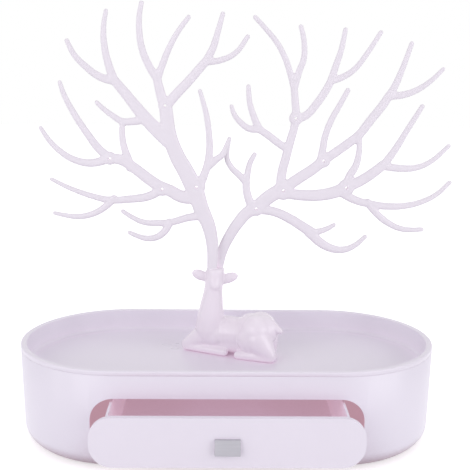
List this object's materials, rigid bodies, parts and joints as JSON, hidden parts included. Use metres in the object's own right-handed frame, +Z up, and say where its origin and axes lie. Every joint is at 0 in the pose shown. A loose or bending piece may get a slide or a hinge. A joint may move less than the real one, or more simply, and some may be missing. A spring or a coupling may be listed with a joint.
{
  "type": "jewelry stand with drawer",
  "caption": "Tabletop jewellery tree: a resting deer with wide branching antlers in a sunken tray on a round-ended base with a drawer.",
  "frame": {"origin": "on the table under the middle of the round-ended base, one millimetre below the casing's flat underside because the feet stand proud", "axes": "+X to the right seen from the drawer side, +Y to the back, +Z up; the drawer slides out towards -Y"},
  "size_m": [0.2722, 0.1565, 0.2713],
  "materials": {
    "body_plastic": "pale lilac pink moulded plastic, soft satin gloss",
    "antler_plastic": "pale lilac pink moulded plastic, soft satin gloss",
    "runner_plastic": "plain natural moulded plastic",
    "pull_metal": "satin grey metal",
    "foot_rubber": "matt grey rubber",
    "screw_steel": "plated steel"
  },
  "bodies": {
    "base": {"casing": "body_plastic", "tray": "body_plastic", "deer": "body_plastic", "left_antler": "antler_plastic", "right_antler": "antler_plastic", "left_runner": "runner_plastic", "right_runner": "runner_plastic", "rubber_feet": "foot_rubber", "tray_screws": "screw_steel", "deer_screws": "screw_steel", "runner_screws": "screw_steel"},
    "drawer": {"drawer_tub": "body_plastic", "drawer_front": "body_plastic", "drawer_pull": "pull_metal", "drawer_screws": "screw_steel"}
  },
  "joints": [
    {"name": "drawer_slide", "type": "slide", "parent": "base", "child": "drawer", "axis": [0, -1, 0], "range_m": [-0.024, 0.0426]}
  ]
}
